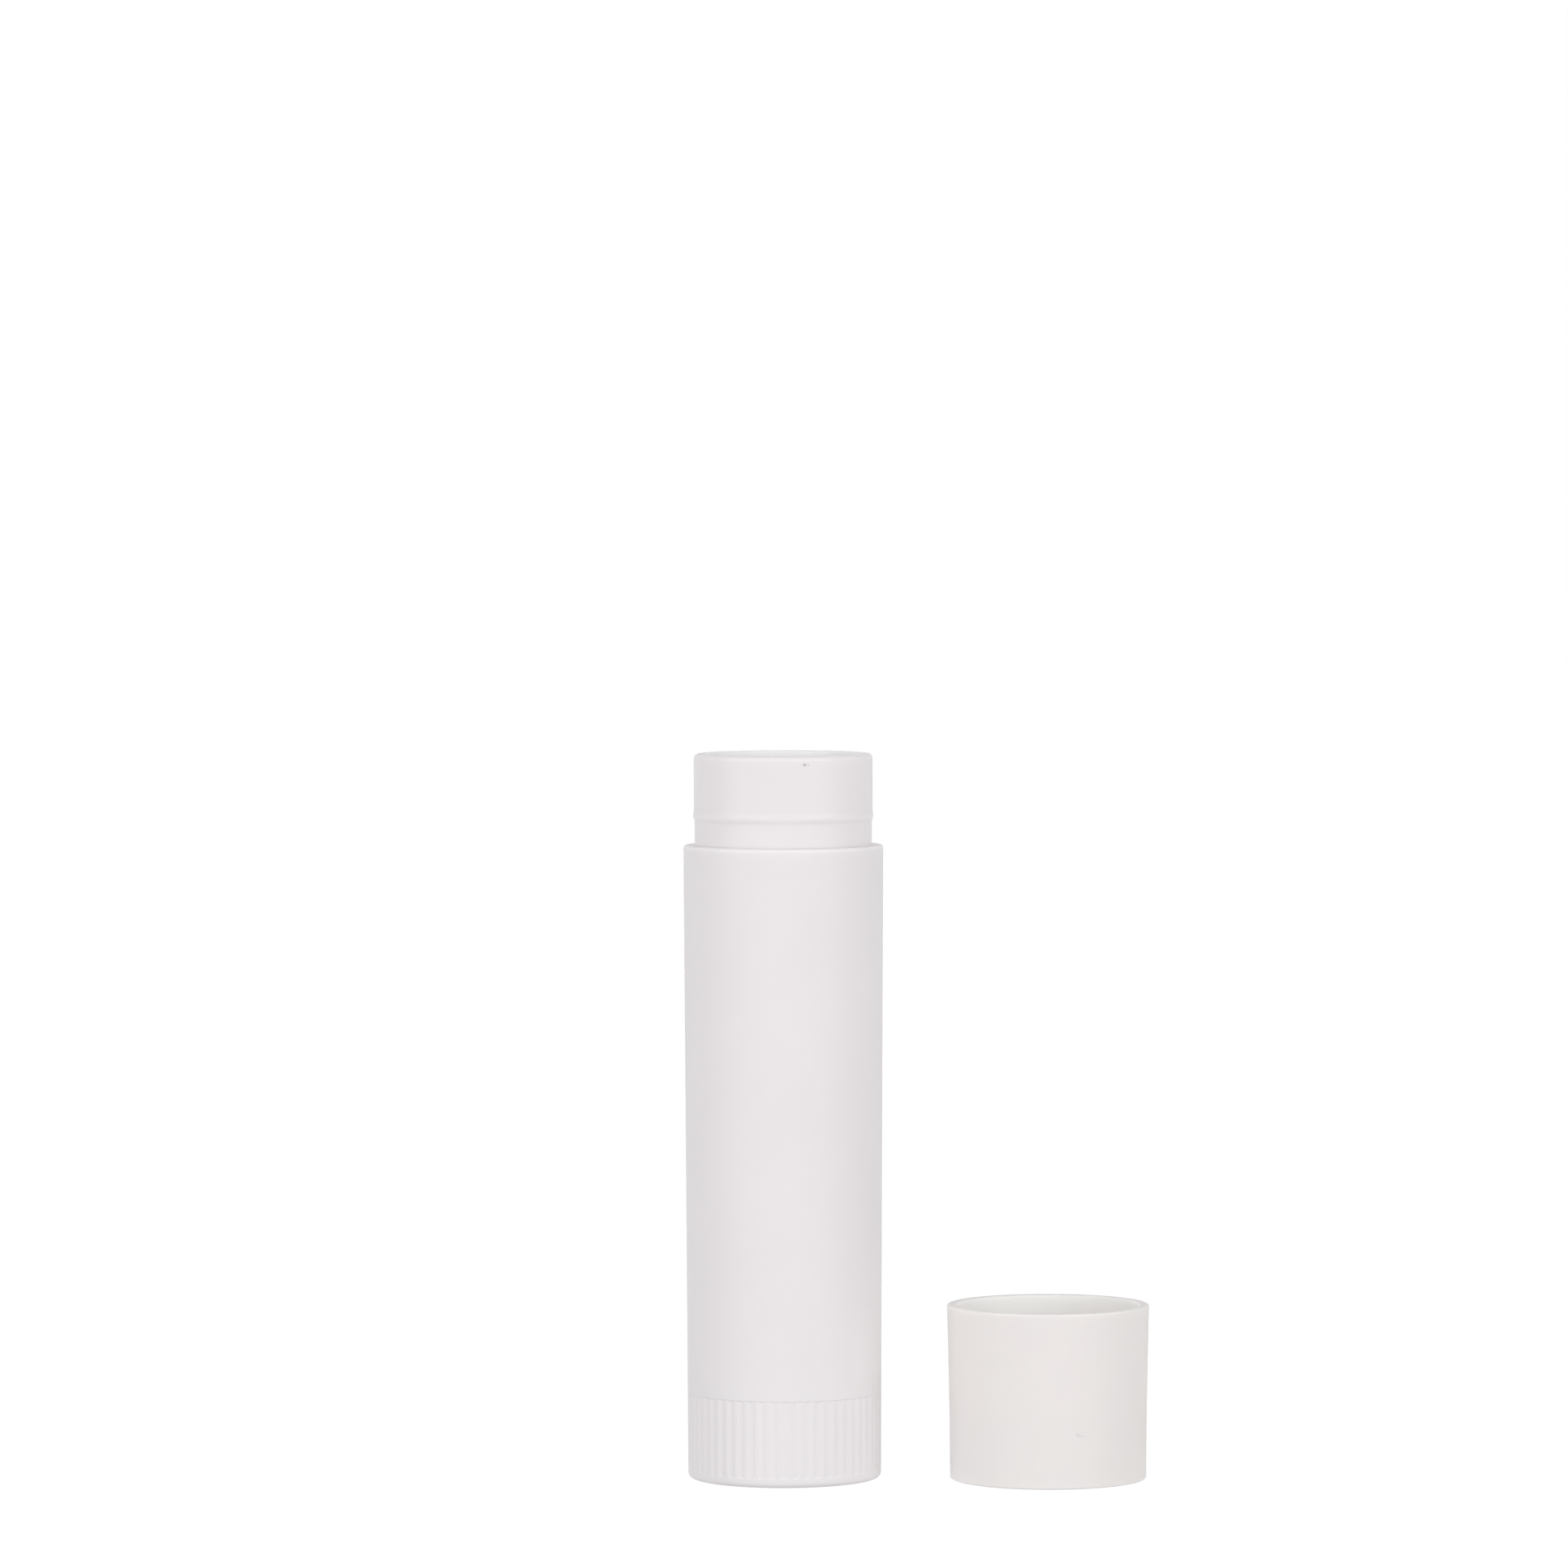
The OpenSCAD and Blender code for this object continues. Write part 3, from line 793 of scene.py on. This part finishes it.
tube_white = plastic("tube_polypropylene", (0.823, 0.792, 0.800, 1.0), (0.813, 0.784, 0.793, 1.0),
                     sheen=0.46, grain=0.0035, marks=NECK_SPECKS, gloss_over=SHOULDER_Z,
                     hollow=(0.0, 0.0, BORE_R + 0.1, BORE_PAINTED_LIGHT), seam=(WHEEL_Z + BARREL_Z) / 2)
inner_white = plastic("inner_polypropylene", (0.80, 0.775, 0.76, 1.0), (0.79, 0.765, 0.755, 1.0),
                      sheen=0.42, grain=0.002)
cap_white = plastic("cap_polypropylene", (0.823, 0.795, 0.774, 1.0), (0.820, 0.790, 0.788, 1.0),
                    sheen=0.44, grain=0.003, marks=CAP_NICK, blotch=6.0,
                    hollow=(CAP_X, CAP_Y, SEAT_R + 0.25, CAP_HOLLOW_PAINTED_LIGHT))
for piece, material in ((barrel, tube_white), (wheel, tube_white), (spindle, inner_white),
                        (lifting_cup, inner_white), (cap, cap_white)):
    piece.data.materials.append(material)
print("materials:", [m.name for m in (tube_white, inner_white, cap_white)])

# %% [markdown]
# ## The floor
#
# The picture's ground is pure white with the objects standing on it. The floor is a plain pale sheet to every
# ray that carries light, so that it throws light back up at the plastic. To the camera it is nearly white by
# itself, with just enough of a matte share left to keep the soft shadow where the pieces stand.

# %% Lay the floor
floor_mesh = bmesh.new()
FLOOR_HALF = 3.0
# What the floor sends to the plastic, and its own light and matte share as the camera sees it
FLOOR_LIGHT = 0.61
FLOOR_GLOW = 0.935
FLOOR_MATTE = 0.14
WHITE = (1.0, 1.0, 1.0, 1.0)
corners = [floor_mesh.verts.new((x * FLOOR_HALF, y * FLOOR_HALF, 0.0)) for x, y in
           ((-1, -1), (1, -1), (1, 1), (-1, 1))]
floor_mesh.faces.new(corners)
floor_data = bpy.data.meshes.new("floor")
floor_mesh.to_mesh(floor_data)
floor_mesh.free()
floor = bpy.data.objects.new("floor", floor_data)
bpy.context.scene.collection.objects.link(floor)
floor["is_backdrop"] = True


def seen_directly(tree):
    """1 for rays from the camera, a mirror or a clear part, and 0 for rays that carry light."""
    path = Wire(tree).node("ShaderNodeLightPath", out="Is Camera Ray")
    sockets = path.socket.node.outputs
    total = path + Wire(tree, sockets["Is Glossy Ray"]) + Wire(tree, sockets["Is Transmission Ray"])
    return total.node("ShaderNodeClamp", {}, {"Value": total})


paper = bpy.data.materials.new("white_floor")
paper.use_nodes = True
paper.node_tree.nodes.clear()
direct = seen_directly(paper.node_tree)
sent = direct.node("ShaderNodeEmission", {}, {"Color": WHITE, "Strength": FLOOR_LIGHT})
matte = direct.node("ShaderNodeBsdfDiffuse", {}, {"Color": (FLOOR_MATTE, FLOOR_MATTE, FLOOR_MATTE, 1.0)})
glow = direct.node("ShaderNodeEmission", {}, {"Color": WHITE, "Strength": FLOOR_GLOW})
seen = direct.node("ShaderNodeAddShader", {}, {0: matte, 1: glow})
both = direct.node("ShaderNodeMixShader", {}, {0: direct, 1: sent, 2: seen})
both.node("ShaderNodeOutputMaterial", {}, {"Surface": both})
floor_data.materials.append(paper)
print("floor laid")

# %% [markdown]
# ## Light
#
# The original light is soft and broad. It is stronger from the front than from behind, a tall box on each
# side keeps the flanks of the tube light, and two narrow strips draw faint upright lines on the neck. A world
# whose strength depends on the direction gives the soft part, and four area lamps give the rest. One evenly
# white world would be simpler, but it leaves a white tube without any form. The strength of a lamp is given
# as how bright its face is, where 1 is white.

# %% Light the scene
FRONT_LIGHT = 1.01
BACK_LIGHT = 0.60
SIDE_LIGHT = 0.03
TOP_LIGHT = 0.22
STRIP_GLOW = 0.38
BOX_GLOW = 2.10
# Distance from the tube, height of the middle, width and tallness of a lamp in metres
STRIP = {"away": 0.5, "height": 0.12, "width": 0.15, "tall": 0.7}
BOX = {"away": 0.8, "height": 0.25, "width": 0.5, "tall": 0.7}
AIM_AT = Vector((0.0, 0.0, 0.035))

world = bpy.data.worlds.new("tent")
bpy.context.scene.world = world
world.use_nodes = True
world.node_tree.nodes.clear()
direct = seen_directly(world.node_tree)
towards = direct.node("ShaderNodeTexCoord", out="Generated")
split = direct.node("ShaderNodeSeparateXYZ", {}, {0: towards})
x, y, z = (Wire(world.node_tree, output) for output in split.socket.node.outputs)
front = y.maths("MAXIMUM", y * -1.0, 0.0)
back = y.maths("MAXIMUM", y, 0.0)
side = x.maths("ABSOLUTE", x, 0.0)
top = z.maths("MAXIMUM", z, 0.0)
carried = front * FRONT_LIGHT + back * BACK_LIGHT + side * SIDE_LIGHT + top * TOP_LIGHT
strength = carried * (1.0 - direct) + direct
tent = strength.node("ShaderNodeBackground", {}, {"Color": WHITE, "Strength": strength})
tent.node("ShaderNodeOutputWorld", {}, {"Surface": tent})


def lamp(name, turn, glow, away, height, width, tall):
    """A flat soft lamp that faces the middle of the tube, turn degrees to the right of the camera."""
    data = bpy.data.lights.new(name, "AREA")
    data.shape = "RECTANGLE"
    data.size = width
    data.size_y = tall
    data.energy = glow * math.pi * width * tall
    piece = bpy.data.objects.new(name, data)
    bpy.context.scene.collection.objects.link(piece)
    angle = math.radians(turn)
    place = Vector((away * math.sin(angle), -away * math.cos(angle), height))
    facing = (AIM_AT - place).to_track_quat("-Z", "Y")
    piece.matrix_world = Matrix.Translation(place) @ facing.to_matrix().to_4x4()
    piece.visible_camera = False
    return piece


lamps = [lamp("left_strip", -34.0, STRIP_GLOW * 0.9, **STRIP),
         lamp("right_strip", 39.0, STRIP_GLOW * 1.1, **STRIP),
         lamp("left_box", -58.0, BOX_GLOW * 1.1, **BOX),
         lamp("right_box", 52.0, BOX_GLOW * 1.1, **BOX)]
print("lamps:", [piece.name for piece in lamps])

# %% [markdown]
# ## Print the sizes and finish
#
# A finer skin mustn't grow the object, so the boxes of the solids and of the dressed scene are printed.

# %% Print the boxes and finish
bpy.context.scene.view_settings.view_transform = "Standard"
dressed_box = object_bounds()
sizes = {"cad": [list(corner) for corner in cad_box], "visual": [list(corner) for corner in dressed_box]}
for key, (low, high) in sizes.items():
    print(key, [round(v / MM, 2) for v in low], [round(v / MM, 2) for v in high])
